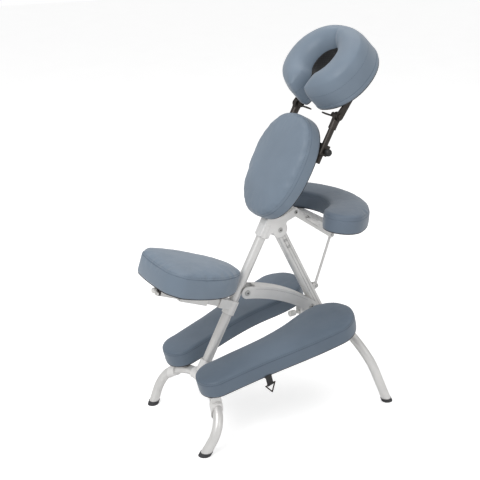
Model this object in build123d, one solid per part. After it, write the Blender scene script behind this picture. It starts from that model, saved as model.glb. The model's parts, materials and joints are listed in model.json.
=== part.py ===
from build123d import *
import math
import os

# Folding kneeling massage chair. Millimetres and degrees.
# +X is the way the client faces, +Y is the client's left, +Z is up.
# Pieces are laid out from a point on the floor midway between the front and the rear feet. The export
# moves them all by CENTRING, so that the origin is under the middle of the chair's overall length.

os.makedirs("parts", exist_ok=True)

# ---------------------------------------------------------------- driving dimensions
TUBE_R, TUBE_WALL = 15.875, 2.5        # 1 1/4 inch leg and column tube
RUN = 0.05                             # radial running clearance of a shaft in a hole
GAP = 0.5                              # side clearance between moving cheeks
BOARD_T = 10.0
INSET = 12.0                           # how far a board stays inside its cushion

REAR_APEX, FRONT_APEX = (-260.7, 168.3), (236.5, 269.3)     # (x, z) of the leg arches on the centre plane
REAR_FOOT_X, FRONT_FOOT_X = -347.0, 347.0
REAR_ARCH = (246.0, 40.0, 88.6, 100.0)      # crown radius and turn, shoulder radius, total turn
FRONT_ARCH = (214.5, 59.3, 131.8, 84.6)
FOOT_HEIGHT, FOOT_LIP, FOOT_WALL = 7.0, 12.0, 1.6

COLUMN_TOP, COLUMN_ANGLE = (-31.5, 603.0), 62.2             # where the column enters the casting
COLUMN_SOCKET, COLUMN_LENGTH = 12.0, 466.0
STRUT_PIVOT, STRUT_ANGLE = (29.6, 618.0), -62.0
STRUT_W, STRUT_D, STRUT_LENGTH = 32.0, 34.0, 352.0
CASTING_HALF, CHEEK_R, JOINT_HUB = 18.0, 26.5, (20.0, 642.0)
PIVOT_BOLT_R = 5.0
FOLD_MAX, ARM_FOLD_MAX = 40.0, 46.8

ARCH_REAR, ARCH_FRONT = (-96.0, 429.0), (158.0, 322.0)      # hinge on the column and bolt in the strut hook
ARCH_BULGE, ARCH_HALF = 17.0, 20.0
PLATE_IN, PLATE_T = 18.5, 4.0
PLUNGER_Z = 303.0

SEAT_TOP, SEAT_ANGLE, SEAT_CUSHION_T = (-255.0, 555.0), -16.5, 64.0
RAIL_POINT, RAIL_ANGLE = (-173.0, 405.0), -22.0
RAIL_W, RAIL_H, RAIL_LENGTH, RAIL_WALL = 26.0, 22.0, 240.0, 2.5

LEG_TOP, LEG_ANGLE, LEG_SPLAY, LEG_Y = (-60.1, 294.0), 14.5, 4.6, 132.0
LEG_CUSHION_T, LEG_HALF, SHIN_R, WAIST, KNEE_R = 45.0, 281.8, 62.0, 58.0, 90.0
FLANK, KNEE_OUT = 73.0, 97.0                                # outer side of a leg pad

CHEST_S, CHEST_FACE_T, CHEST_BACK_T = 228.0, 76.0, 19.0     # along and off the column line
CHEST_HALF_L, CHEST_HALF_W, CHEST_POWER = 171.0, 130.0, 2.3
POST_W, POST_D, POST_FROM, POST_TO = 26.0, 20.0, 40.0, 350.0
CHEST_KNOB_S = 200.0

ROD_R, ROD_Y, ROD_FROM, ROD_TO = 9.5, 106.0, 280.0, 419.0
RECEIVER_FROM, RECEIVER_TO, RECEIVER_HALF_T = 308.0, 342.0, 15.0
CRADLE_HINGE_S, CRADLE_PIN_R = 436.0, 5.0
FACE_CENTRE, FACE_ANGLE = (208.0, 1124.0), 45.0
FACE_HALF_L, FACE_HALF_W, FACE_T = 134.0, 166.0, 94.0
FACE_HOLE_L, FACE_HOLE_W, FACE_MOUTH = 62.0, 56.0, 44.0
CRADLE_PLATE_T = 6.0

ARM_HINGE, ARM_END = (88.0, 668.0), (243.0, 558.0)
ARM_PAD, ARM_PAD_ANGLE = (215.0, 695.0), -4.0
ARM_ARC_X, ARM_ARC_R, ARM_HALF_W, ARM_LOBE_ANGLE = 95.0, 176.4, 64.0, 63.6
ARM_CUSHION_T, ARM_BAR_HALF, ARM_PIN_R = 48.0, 8.0, 4.0
LINK_ALONG, LINK_OUT = 277.0, 28.0                          # link pin on the strut
LINK_PIN_R, LINK_PLAY, LINK_HALF, LINK_ROD_R = 3.0, 2.5, 5.0, 4.6


# ---------------------------------------------------------------- helpers
def incline(x, z, angle):
    """Frame whose x runs up a slope in the XZ plane, whose y is +Y and whose z is the normal."""
    a = math.radians(angle)
    return Plane(origin=(x, 0, z), x_dir=(math.cos(a), 0, math.sin(a)), z_dir=(-math.sin(a), 0, math.cos(a)))


COLUMN = incline(*COLUMN_TOP, COLUMN_ANGLE)      # x along the column, z towards the client
STRUT = incline(*STRUT_PIVOT, STRUT_ANGLE)       # x down the strut, z towards the front
SEAT = incline(*SEAT_TOP, SEAT_ANGLE)
RAIL = incline(*RAIL_POINT, RAIL_ANGLE)
LEG = incline(*LEG_TOP, LEG_ANGLE)
FACE = incline(*FACE_CENTRE, FACE_ANGLE)
ARM = incline(*ARM_PAD, ARM_PAD_ANGLE)
SIDE = Plane(origin=(0, 0, 0), x_dir=(1, 0, 0), z_dir=(0, -1, 0))


def point(frame, x, z):
    """Global (x, z) of a point given in a frame."""
    p = frame.from_local_coords(Vector(x, 0, z))
    return (p.X, p.Z)


def local(frame, at):
    """A global (x, z) in a frame's own coordinates."""
    return frame.to_local_coords(Vector(at[0], 0, at[1]))


def polygon(*points):
    return make_face(Polyline(*points, close=True))


def slab(outline, y_from, y_to):
    """Extrude an outline drawn in global X and Z from y_from to y_to."""
    return Pos(0, y_to, 0) * extrude(SIDE * outline, amount=y_to - y_from, dir=(0, -1, 0))


def disc(centre, radius):
    return Pos(centre[0], centre[1]) * Circle(radius)


def link(a, b, radius_a, radius_b):
    """Outline of two round ends joined by their outer tangents."""
    ends = Sketch() + [disc(a, radius_a), disc(b, radius_b)]
    return make_hull(ends.edges())


def pin(centre, radius, y_from, y_to):
    """Round bar along Y through a global (x, z)."""
    return Pos(centre[0], (y_from + y_to) / 2, centre[1]) * Rot(90, 0, 0) * Cylinder(radius, y_to - y_from)


def rod(frame, radius, x_from, x_to, y=0.0, z=0.0):
    """Round bar along a frame's x."""
    return frame * Pos((x_from + x_to) / 2, y, z) * Rot(0, 90, 0) * Cylinder(radius, x_to - x_from)


def block(x_from, x_to, y_from, y_to, z_from, z_to):
    centre = Pos((x_from + x_to) / 2, (y_from + y_to) / 2, (z_from + z_to) / 2)
    return centre * Box(x_to - x_from, y_to - y_from, z_to - z_from)


def group(*shapes):
    """Separate solids kept together as one node."""
    return Compound([solid for shape in shapes for solid in shape.solids()])


def both_sides(shape):
    """A shape and its mirror image in the XZ plane."""
    return group(shape, mirror(shape, about=Plane.XZ))


def bolt(centre, radius, half, head_r, head_t):
    """Bolt across the frame with a domed head on both ends."""
    shank = pin(centre, radius, -half, half)
    head = pin(centre, head_r, half, half + head_t)
    head = fillet(head.edges().sort_by(Axis.Y)[-1], head_t * 0.6)
    return shank + head + mirror(head, about=Plane.XZ)


def knob(stem_r, stem, neck, head_r, head_t):
    """Lobed clamp knob on a stem; its origin is the stem's tip and it points along +Z."""
    grip = Circle(head_r) - [place * Circle(head_r * 0.28) for place in PolarLocations(head_r * 1.12, 6)]
    head = extrude(grip, head_t)
    head = fillet(head.faces().sort_by(Axis.Z)[-1].edges(), 1.5)
    collar = Pos(0, 0, stem + neck / 2) * Cylinder(head_r * 0.6, neck)
    return Pos(0, 0, stem / 2) * Cylinder(stem_r, stem) + collar + Pos(0, 0, stem + neck) * head


def ball_knob(stem_r, stem, ball_r):
    """Ball on a stem; its origin is the stem's tip and it points along +Z."""
    length = stem + ball_r / 2
    collar = Pos(0, 0, stem - 1.5) * Cylinder(ball_r * 0.62, 3)
    ball = Pos(0, 0, stem + ball_r * 0.8) * Sphere(ball_r)
    return Pos(0, 0, length / 2) * Cylinder(stem_r, length) + collar + ball


def oval(half_x, half_y, power, egg=0.0, steps=28):
    """Superellipse outline, wider at its +x end by the factor egg."""
    points = []
    for i in range(steps):
        t = 2 * math.pi * i / steps
        c, s = math.cos(t), math.sin(t)
        x = half_x * math.copysign(abs(c) ** (2 / power), c)
        y = half_y * math.copysign(abs(s) ** (2 / power), s) * (1 + egg * x / half_x)
        points.append((x, y))
    return make_face(Spline(points, periodic=True))


def crescent(centre_x, radius, half_width, half_angle):
    """Curved band with round ends, open towards -x."""
    return SlotArc(CenterArc((centre_x, 0), radius, -half_angle, 2 * half_angle), 2 * half_width)


def cushion(outline, thickness, top=0.0, edge=9.0):
    """Padded block below z = top with its long edges rounded."""
    solid = Pos(0, 0, top - thickness) * extrude(outline, thickness)
    faces = solid.faces().sort_by(Axis.Z)
    return fillet(faces[-1].edges() + faces[0].edges(), edge)


def screws(frame, places, underside, depth):
    """Pan-head screws driven along +z of a frame into a board from its underside."""
    shank_r, head_r, head_t = 2.2, 4.5, 2.5
    found = []
    for x, y in places:
        shank = Pos(x, y, underside + depth / 2) * Cylinder(shank_r, depth)
        head = Pos(x, y, underside - head_t / 2) * Cylinder(head_r, head_t)
        found.append(frame * (shank + head))
    return group(*found)


# ---------------------------------------------------------------- leg arches
def arch_frame(apex, foot_x):
    """Plane of a leg arch: x from the apex towards the floor, y across."""
    return incline(*apex, math.degrees(math.atan2(-apex[1], foot_x - apex[0])))


def arch_path(crown, crown_turn, shoulder, turn, reach):
    """Centre line of a leg arch: crown arc, two shoulder arcs and two straight legs."""
    a, b = math.radians(crown_turn), math.radians(turn)

    def on_shoulder(angle, side):
        x = crown * (1 - math.cos(a)) + shoulder * (math.cos(a) - math.cos(angle))
        y = crown * math.sin(a) + shoulder * (math.sin(angle) - math.sin(a))
        return (x, side * y)

    def half(side):
        joint, middle, end = [on_shoulder(angle, side) for angle in (a, (a + b) / 2, b)]
        run = (reach - end[0]) / math.sin(b)
        foot = (reach, end[1] + side * run * math.cos(b))
        return joint, middle, end, foot

    joint, middle, end, foot = half(1)
    joint_2, middle_2, end_2, foot_2 = half(-1)
    return Wire(
        [
            Line(foot_2, end_2),
            ThreePointArc(end_2, middle_2, joint_2),
            ThreePointArc(joint_2, (0, 0), joint),
            ThreePointArc(joint, middle, end),
            Line(end, foot),
        ]
    )


def arch_solid(frame, path, radius):
    start = Plane(origin=path @ 0, z_dir=path % 0)
    return frame * sweep(start * Circle(radius), path=path)


def leg_arch(frame, path):
    """Bent tube and its pair of rubber feet, both cut level with the floor."""
    outside = arch_solid(frame, path, TUBE_R)
    below = block(-600, 600, -400, 400, -200, FOOT_HEIGHT)
    tube = outside - arch_solid(frame, path, TUBE_R - TUBE_WALL) - below
    cap = arch_solid(frame, path, TUBE_R + FOOT_WALL) & block(-600, 600, -400, 400, 0, FOOT_LIP)
    return outside, tube, group(cap - (outside - below))


REAR_FRAME, FRONT_FRAME = arch_frame(REAR_APEX, REAR_FOOT_X), arch_frame(FRONT_APEX, FRONT_FOOT_X)
PAST_FLOOR = 25.0
rear_path = arch_path(*REAR_ARCH, math.hypot(REAR_APEX[1], REAR_FOOT_X - REAR_APEX[0]) + PAST_FLOOR)
front_path = arch_path(*FRONT_ARCH, math.hypot(FRONT_APEX[1], FRONT_FOOT_X - FRONT_APEX[0]) + PAST_FLOOR)
rear_arch_outside, rear_leg_arch, rear_feet = leg_arch(REAR_FRAME, rear_path)
front_arch_outside, front_leg_arch, front_feet = leg_arch(FRONT_FRAME, front_path)


def arch_sleeve(frame, path, wall, y_from, y_to):
    """Short sleeve that follows a leg arch between two distances from the centre plane."""
    return arch_solid(frame, path, TUBE_R + wall) & block(-600, 600, y_from, y_to, 60, 400)


# ---------------------------------------------------------------- column and its foot
column_solid = rod(COLUMN, TUBE_R, -COLUMN_LENGTH, COLUMN_SOCKET)
column_tube = column_solid - rod(COLUMN, TUBE_R - TUBE_WALL, -COLUMN_LENGTH - 1, COLUMN_SOCKET + 1)

SADDLE_WALL = 4.5
foot_socket = rod(COLUMN, TUBE_R + SADDLE_WALL, -COLUMN_LENGTH - 12, 28 - COLUMN_LENGTH)
foot_sleeve = arch_sleeve(REAR_FRAME, rear_path, SADDLE_WALL, -30, 30)
column_foot_bolt = bolt(point(COLUMN, 14 - COLUMN_LENGTH, 0), 4, TUBE_R + SADDLE_WALL, 7, 4)
column_foot = foot_sleeve + foot_socket - rear_arch_outside - column_solid - column_foot_bolt
arch_hinge_bolt = bolt(ARCH_REAR, PIVOT_BOLT_R, PLATE_IN + PLATE_T + GAP, 9, 3)
arch_hinge_local = local(COLUMN, ARCH_REAR)
column_lug = slab(link(ARCH_REAR, point(COLUMN, arch_hinge_local.X, -10), 10, 12), -12, 12) - column_solid
column_tube = column_tube + column_lug - column_foot_bolt - arch_hinge_bolt


# ---------------------------------------------------------------- casting at the top of the frame
def rounded_outline(corners):
    """Closed outline through (point, radius) corners, each rounded by an arc of its radius."""
    edges, ends = [], []
    for i, (corner, radius) in enumerate(corners):
        here = Vector(*corner)
        neighbours = (i - 1, (i + 1) % len(corners))
        before, after = [(Vector(*corners[j][0]) - here).normalized() for j in neighbours]
        half = math.radians(before.get_angle(after)) / 2
        if radius:
            start, end = [here + way * (radius / math.tan(half)) for way in (before, after)]
            inward = (before + after).normalized()
            middle = here + inward * (radius / math.sin(half) - radius)
            edges.append(ThreePointArc(start, middle, end))
        else:
            start, end = here, here
        ends.append((start, end))
    for i, (start, _) in enumerate(ends):
        edges.append(Line(ends[i - 1][1], start))
    return make_face(edges)


def wedge(pivot, angles, half, reach):
    """Everything that a bar of half width half sweeps as it turns about pivot between two directions."""
    x, z = pivot
    (a, b), middle = [math.radians(t) for t in angles], math.radians(sum(angles) / 2)
    near_a = (x + half * math.sin(a), z - half * math.cos(a))
    near_b = (x - half * math.sin(b), z + half * math.cos(b))
    far_a = (near_a[0] + reach * math.cos(a), near_a[1] + reach * math.sin(a))
    far_b = (near_b[0] + reach * math.cos(b), near_b[1] + reach * math.sin(b))
    tip = (x + 1.5 * reach * math.cos(middle), z + 1.5 * reach * math.sin(middle))
    behind = (x - 0.3 * half * math.cos(middle), z - 0.3 * half * math.sin(middle))
    return polygon(near_a, far_a, tip, far_b, near_b, behind)


def casting():
    """Four-armed junction: column socket, strut cheeks, arm rest arm and chest post socket."""
    hub_to_strut = math.degrees(math.atan2(STRUT_PIVOT[1] - JOINT_HUB[1], STRUT_PIVOT[0] - JOINT_HUB[0]))
    hub_to_arm = math.degrees(math.atan2(ARM_HINGE[1] - JOINT_HUB[1], ARM_HINGE[0] - JOINT_HUB[0]))
    cheeks, arm = incline(*STRUT_PIVOT, hub_to_strut), incline(*ARM_HINGE, hub_to_arm)
    arm_r, crotch = 14.0, 7.0
    corners = [
        (point(COLUMN, 0, 18), 0),
        (point(COLUMN, 0, -18), 0),
        (point(COLUMN, 30, -19), crotch),
        (point(cheeks, CHEEK_R, -CHEEK_R), CHEEK_R - 0.5),
        (point(cheeks, CHEEK_R, CHEEK_R), CHEEK_R - 0.5),
        (point(cheeks, -12, CHEEK_R + 2), crotch),
        (point(arm, arm_r, -arm_r), arm_r - 0.5),
        (point(arm, arm_r, arm_r), arm_r - 0.5),
        (point(COLUMN, 71, -18), crotch),
        (point(COLUMN, 104, -arm_r), 10),
        (point(COLUMN, 104, arm_r), 10),
        (point(COLUMN, 57, 18), 30),
    ]
    body = slab(rounded_outline(corners), -CASTING_HALF, CASTING_HALF)
    rims = body.faces().sort_by(Axis.Y)
    body = fillet(rims[0].edges() + rims[-1].edges(), 3)
    return body + rod(COLUMN, TUBE_R + 3.2, -2, 40)


TONGUE_HALF, TONGUE_R = 9.0, 14.0
strut_swing = wedge(STRUT_PIVOT, (STRUT_ANGLE - FOLD_MAX - 2, STRUT_ANGLE + 2), 18, 120)
strut_relief = slab(strut_swing - disc(STRUT_PIVOT, CHEEK_R), -CASTING_HALF - 5, CASTING_HALF + 5)
tongue_relief = slab(strut_swing + disc(STRUT_PIVOT, TONGUE_R + 5), -TONGUE_HALF - GAP, TONGUE_HALF + GAP)
bar_angle = math.degrees(math.atan2(ARM_END[1] - ARM_HINGE[1], ARM_END[0] - ARM_HINGE[0]))
bar_swing = wedge(ARM_HINGE, (bar_angle - ARM_FOLD_MAX - 2, bar_angle + 2), 13, 120)
arm_slot = slab(disc(ARM_HINGE, 16) + bar_swing, -ARM_BAR_HALF - GAP, ARM_BAR_HALF + GAP)
post_solid = COLUMN * block(POST_FROM, POST_TO, -POST_W / 2, POST_W / 2, -POST_D / 2, POST_D / 2)
bore_w, bore_d = POST_W / 2 - 2.5, POST_D / 2 - 2.5
post_bore = COLUMN * block(POST_FROM - 5, POST_TO - 4, -bore_w, bore_w, -bore_d, bore_d)
chest_post = post_solid - post_bore

strut_pivot_bolt = bolt(STRUT_PIVOT, PIVOT_BOLT_R, CASTING_HALF, 8, 2)
armrest_hinge_pin = bolt(ARM_HINGE, ARM_PIN_R, CASTING_HALF, 6, 2)
casting_bolts = group(strut_pivot_bolt, armrest_hinge_pin)
frame_casting = casting() - strut_relief - tongue_relief - arm_slot - column_solid - post_solid - casting_bolts

# ---------------------------------------------------------------- front frame: strut, foot, hook and lug
groove = Circle(1.6)
strut_profile = RectangleRounded(STRUT_D, STRUT_W, 7)
strut_profile -= [Pos(x, side * STRUT_W / 2) * groove for x in (-5, 5) for side in (-1, 1)]
strut_outer = STRUT * Rot(0, 90, 0) * extrude(strut_profile, STRUT_LENGTH)
strut_bore = RectangleRounded(STRUT_D - 6, STRUT_W - 7.6, 4)
strut_inner = STRUT * Rot(0, 90, 0) * extrude(strut_bore, STRUT_LENGTH + 5)
strut_tube = strut_outer - strut_inner - pin(STRUT_PIVOT, CHEEK_R + 0.7, -30, 30)
strut_head = slab(link(STRUT_PIVOT, point(STRUT, 80, 0), TONGUE_R, 11), -TONGUE_HALF, TONGUE_HALF)
strut_head = strut_head - pin(STRUT_PIVOT, PIVOT_BOLT_R + RUN, -30, 30)
strut_rivets = group(*[bolt(point(STRUT, s, 0), 3, STRUT_W / 2, 5, 1.8) for s in (45, 72)])
strut_head = strut_head - strut_rivets

plug_profile = RectangleRounded(STRUT_D - 6.4, STRUT_W - 8, 4)
foot_plug = STRUT * Pos(STRUT_LENGTH - 30, 0, 0) * Rot(0, 90, 0) * extrude(plug_profile, 30)
foot_web = slab(link(point(STRUT, STRUT_LENGTH + 10, 0), FRONT_APEX, 15, TUBE_R + SADDLE_WALL), -15, 15)
foot_top = STRUT * block(STRUT_LENGTH, STRUT_LENGTH + 14, -16, 16, -17, 17)
front_sleeve = arch_sleeve(FRONT_FRAME, front_path, SADDLE_WALL, -17, 17)
strut_foot = foot_web + foot_top + front_sleeve - strut_outer + foot_plug - front_arch_outside

link_pivot = point(STRUT, LINK_ALONG, LINK_OUT)
lug_ear = slab(link(link_pivot, point(STRUT, LINK_ALONG - 6, 10), 8, 12), LINK_HALF + GAP, 10) - strut_outer
link_pin = bolt(link_pivot, LINK_PIN_R, 10, 5, 2)
strut_pins = group(strut_rivets, link_pin)

hook_at = local(STRUT, ARCH_FRONT)
HOOK_CLEAR, HOOK_WALL, HOOK_HALF, HOOK_TOP = 0.6, 3.4, 11.0, 16.0
slot_half = PIVOT_BOLT_R + HOOK_CLEAR


def arch_hook():
    """Downward-open hook on the rear face of the strut that holds the front bolt of the seat arch."""
    outer = hook_at.Z - slot_half - HOOK_WALL
    body = STRUT * block(hook_at.X - HOOK_TOP, hook_at.X + 1, -HOOK_HALF, HOOK_HALF, outer, -STRUT_D / 2)
    slot = STRUT * block(hook_at.X, hook_at.X + 20, -12, 12, hook_at.Z - slot_half, hook_at.Z + slot_half)
    return body - slot - pin(ARCH_FRONT, slot_half, -12, 12)


strut_tube = strut_tube + both_sides(lug_ear).solids() + arch_hook() - strut_pins


# ---------------------------------------------------------------- seat arch
def arch_band(low, high, trim_rear=0.0, trim_front=0.0):
    """Curved band from the rear hinge to the front bolt; low and high are offsets from its centre line."""
    chord = math.dist(ARCH_REAR, ARCH_FRONT)
    radius = chord * chord / (8 * ARCH_BULGE) + ARCH_BULGE / 2
    half_turn = math.degrees(math.asin(chord / 2 / radius))
    start, turn = 90 - half_turn + trim_front, 2 * half_turn - trim_front - trim_rear
    outer, inner = [CenterArc((0, 0), radius + off, start, turn) for off in (high, low)]
    face = make_face([outer, inner, Line(outer @ 0, inner @ 0), Line(outer @ 1, inner @ 1)])
    tilt = math.degrees(math.atan2(ARCH_FRONT[1] - ARCH_REAR[1], ARCH_FRONT[0] - ARCH_REAR[0]))
    middle = ((ARCH_REAR[0] + ARCH_FRONT[0]) / 2, (ARCH_REAR[1] + ARCH_FRONT[1]) / 2)
    return Pos(*middle) * Rot(0, 0, tilt) * Pos(0, ARCH_BULGE - radius) * face


PLATE_OUT = PLATE_IN + PLATE_T
COVER_TRIM = 6.5                       # degrees of arch left open for the strut to swing through
plate_outline = arch_band(-ARCH_HALF, ARCH_HALF) + disc(ARCH_REAR, ARCH_HALF) + disc(ARCH_FRONT, ARCH_HALF)
bead_groove = slab(arch_band(ARCH_HALF - 9, ARCH_HALF - 7, 3, 3), PLATE_OUT - 1, PLATE_OUT + 1)
arch_front_bolt = bolt(ARCH_FRONT, PIVOT_BOLT_R, PLATE_OUT, 9, 3)
arch_plate = slab(plate_outline, PLATE_IN, PLATE_OUT) - bead_groove - arch_front_bolt
arch_plate = arch_plate - pin(ARCH_REAR, PIVOT_BOLT_R + RUN, 0, 40)
seat_arch_cover = slab(arch_band(ARCH_HALF - 4, ARCH_HALF, 3.2, COVER_TRIM), -PLATE_IN, PLATE_IN)

plunger_line = Pos(0, 0, PLUNGER_Z) * Rot(0, 90, 0)
plunger_body = block(122, 144, -PLATE_IN, PLATE_IN, PLUNGER_Z - 10, 322)
plunger_ear = slab(polygon((122, 293), (144, 293), (150, 330), (122, 338)), PLATE_IN - 3, PLATE_IN)
plunger_block = plunger_body + both_sides(plunger_ear).solids() - plunger_line * Cylinder(4 + RUN, 600)
plunger_grip = fillet(Cylinder(10, 24).edges().filter_by(GeomType.CIRCLE), 2.5)
plunger_pin = Pos(127, 0, 0) * plunger_line * Cylinder(4, 70)
plunger_collar = Pos(117, 0, 0) * plunger_line * Cylinder(6, 8)
arch_lock_knob = plunger_pin + plunger_collar + Pos(94, 0, 0) * plunger_line * plunger_grip

# ---------------------------------------------------------------- seat rail, carriage and seat
inner_w, inner_h = RAIL_W / 2 - RAIL_WALL, RAIL_H / 2 - RAIL_WALL
rail_outer = RAIL * block(-RAIL_LENGTH, 0, -RAIL_W / 2, RAIL_W / 2, -RAIL_H / 2, RAIL_H / 2)
seat_rail = rail_outer - RAIL * block(-RAIL_LENGTH - 5, 5, -inner_w, inner_w, -inner_h, inner_h)
collar_s = local(COLUMN, RAIL_POINT).X - 6
collar_shell = rod(COLUMN, TUBE_R + SADDLE_WALL, collar_s - 23, collar_s + 23)
collar_socket = RAIL * block(-22, 40, -17, 17, -15, 15)
ahead_of_column = COLUMN * block(-300, -150, -40, 40, -60, -TUBE_R - SADDLE_WALL - 1)
rail_collar = collar_shell + collar_socket - column_solid - rail_outer - ahead_of_column
rail_cap = rod(RAIL, 15, -RAIL_LENGTH - 9, -RAIL_LENGTH)
rail_cap = fillet(rail_cap.edges().filter_by(GeomType.CIRCLE), 3)
rail_cap_plug = RAIL * block(-RAIL_LENGTH, -RAIL_LENGTH + 14, -inner_w, inner_w, -inner_h, inner_h)
rail_neck = rod(RAIL, 4.5, -RAIL_LENGTH - 16, -RAIL_LENGTH - 8)
rail_ball = rail_neck + RAIL * Pos(-RAIL_LENGTH - 19, 0, 0) * Sphere(9)
seat_rail_cap = rail_cap + rail_cap_plug + rail_ball


def seat_outline(inset=0.0):
    """Wide at the back, convex sides, narrow nose against the column."""
    corners = [(137, 36), (118, 54), (-122, 136), (-156, 98)]
    nose, shoulder, flank, back_corner = corners
    flipped = [(x, -y) for x, y in corners]
    face = make_face(
        [
            Line(flipped[0], nose),
            Line(nose, shoulder),
            ThreePointArc(shoulder, (20, 115), flank),
            Line(flank, back_corner),
            ThreePointArc(back_corner, (-164, 0), flipped[3]),
            Line(flipped[3], flipped[2]),
            ThreePointArc(flipped[2], (20, -115), flipped[1]),
            Line(flipped[1], flipped[0]),
        ]
    )
    face = fillet(face.vertices(), 14)
    return offset(face, -inset) if inset else face


seat_cushion = SEAT * cushion(seat_outline(), SEAT_CUSHION_T)
SEAT_LOW = -SEAT_CUSHION_T - BOARD_T
seat_board = SEAT * Pos(0, 0, SEAT_LOW) * extrude(seat_outline(INSET), BOARD_T)
SEAT_KNOB_X, FLANGE_T = -120.0, 4.0
sleeve = block(-170, -70, -RAIL_W / 2 - 5, RAIL_W / 2 + 5, -RAIL_H / 2 - 5, RAIL_H / 2 + 5)
half_w, half_h = RAIL_W / 2 + RUN, RAIL_H / 2 + RUN
rail_space = RAIL * block(-400, 60, -half_w, half_w, -half_h, half_h)
under_board = SEAT * block(-300, 300, -100, 100, SEAT_LOW - 200, SEAT_LOW - FLANGE_T)
pedestal = RAIL * block(-152, -88, -16, 16, RAIL_H / 2, 90) & under_board
flange_x = local(SEAT, point(RAIL, SEAT_KNOB_X, 40)).X
flange = SEAT * block(flange_x - 46, flange_x + 46, -62, 62, SEAT_LOW - FLANGE_T, SEAT_LOW)
knob_hole = RAIL * Pos(SEAT_KNOB_X, 20, 0) * Rot(90, 0, 0) * Cylinder(4 + RUN, 20)
screw_places = [(flange_x + x, y) for x in (-36, 36) for y in (-50, 50)]
seat_screws = screws(SEAT, screw_places, SEAT_LOW - FLANGE_T, 12)
seat_carriage = RAIL * sleeve + pedestal + flange - rail_space - knob_hole - seat_screws
seat_board = seat_board - seat_screws
seat_lock_knob = RAIL * Pos(SEAT_KNOB_X, RAIL_W / 2 + 0.3, 0) * Rot(-90, 0, 0) * knob(4, 8, 5, 17, 13)


# ---------------------------------------------------------------- leg pads
def leg_outline(side, inset=0.0):
    """Long pad: round shin end, wider round knee end, waist on the inner side, full on the outer side."""
    rear_x, knee_x = SHIN_R - LEG_HALF, LEG_HALF - KNEE_R
    shin, tip = SHIN_R - inset, LEG_HALF - inset
    waist, inner_knee = WAIST - inset, KNEE_R - inset
    flank, outer_knee = FLANK - inset, KNEE_OUT - inset
    outer_points = [(rear_x, side * shin), (-70, side * flank), (knee_x, side * outer_knee)]
    inner_points = [
        (rear_x, -side * shin),
        (-95, -side * waist),
        (60, -side * (waist + 9)),
        (knee_x, -side * inner_knee),
    ]
    outer = Spline(outer_points, tangents=[(1, side * 0.06), (1, 0)])
    inner = Spline(inner_points, tangents=[(1, 0), (1, 0)])
    rear = ThreePointArc((rear_x, side * shin), (-tip, 0), (rear_x, -side * shin))
    knee = Spline(
        [(knee_x, side * outer_knee), (tip, side * 3), (knee_x, -side * inner_knee)],
        tangents=[(1, 0), (0, -side), (-1, 0)],
        tangent_scalars=[1.1, 1.1, 1.1],
    )
    return make_face([outer, knee, inner, rear])


LEG_LOW = -LEG_CUSHION_T - BOARD_T
left_leg, right_leg = [LEG * Pos(0, side * LEG_Y, 0) * Rot(0, 0, side * LEG_SPLAY) for side in (1, -1)]
left_leg_cushion, right_leg_cushion = [
    place * cushion(leg_outline(side), LEG_CUSHION_T) for place, side in ((left_leg, 1), (right_leg, -1))
]
left_leg_board, right_leg_board = [
    place * Pos(0, 0, LEG_LOW) * extrude(leg_outline(side, INSET), BOARD_T)
    for place, side in ((left_leg, 1), (right_leg, -1))
]
above_board_face = LEG * block(-400, 400, 0, 300, LEG_LOW, LEG_LOW + 60)

# rear bracket: sleeve round the rear arch, web and flange screwed to the board
BRACKET_IN, BRACKET_OUT, BRACKET_T = 124.0, 152.0, 4.0
bracket_x = REAR_APEX[0] - 18
bracket_at = local(LEG, (bracket_x, REAR_APEX[1] - 35))
bracket_sleeve = arch_sleeve(REAR_FRAME, rear_path, SADDLE_WALL, BRACKET_IN, BRACKET_OUT)
bracket_web = LEG * block(bracket_at.X - 12, bracket_at.X + 16, 132, 144, bracket_at.Z, LEG_LOW)
bracket_flange = LEG * block(bracket_at.X - 20, bracket_at.X + 62, 104, 156, LEG_LOW - BRACKET_T, LEG_LOW)
rear_bracket = bracket_sleeve + bracket_web + bracket_flange - above_board_face - rear_arch_outside
rear_places = [(bracket_at.X + x, y) for x in (28, 52) for y in (112, 148)]
rear_pad_screws = screws(LEG, rear_places, LEG_LOW - BRACKET_T, 12)

# front saddle: bracket that reaches forward and rests on top of the front arch
SADDLE_IN, SADDLE_OUT = 84.0, 108.0
crown_radius = FRONT_ARCH[0]
saddle_y = (SADDLE_IN + SADDLE_OUT) / 2
rest_drop = crown_radius - math.sqrt(crown_radius**2 - saddle_y**2)
rest_x, rest_z = point(FRONT_FRAME, rest_drop, 0)
flange_rear, flange_front = [point(LEG, local(LEG, (x, 300)).X, LEG_LOW) for x in (148, 198)]
saddle_outline = polygon(
    (flange_rear[0], flange_rear[1] - BRACKET_T),
    flange_rear,
    flange_front,
    (rest_x + 16, rest_z + 24),
    (rest_x + 24, rest_z + 6),
    (rest_x + 14, rest_z - 2),
    (rest_x, rest_z),
    (rest_x - 40, rest_z + 34),
)
saddle = slab(saddle_outline, SADDLE_IN, SADDLE_OUT) - above_board_face
flange_from, flange_to = local(LEG, flange_rear).X, local(LEG, flange_front).X - 6
flange_low = LEG_LOW - BRACKET_T
saddle_flange = LEG * block(flange_from, flange_to, SADDLE_IN - 14, SADDLE_OUT + 30, flange_low, LEG_LOW)
saddle = saddle + saddle_flange
near_saddle = block(0, 500, SADDLE_IN - 16, SADDLE_OUT + 32, 100, 400)
tube_space = arch_solid(FRONT_FRAME, front_path, TUBE_R + 0.3) & near_saddle
pivot_axis = Axis((STRUT_PIVOT[0], 0, STRUT_PIVOT[1]), (0, 1, 0))
for angle in range(0, 17, 2):
    saddle = saddle - tube_space.rotate(pivot_axis, angle)
front_places = [(flange_from + x, SADDLE_OUT + 18) for x in (9, 34)]
front_pad_screws = screws(LEG, front_places, LEG_LOW - BRACKET_T, 12)

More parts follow.
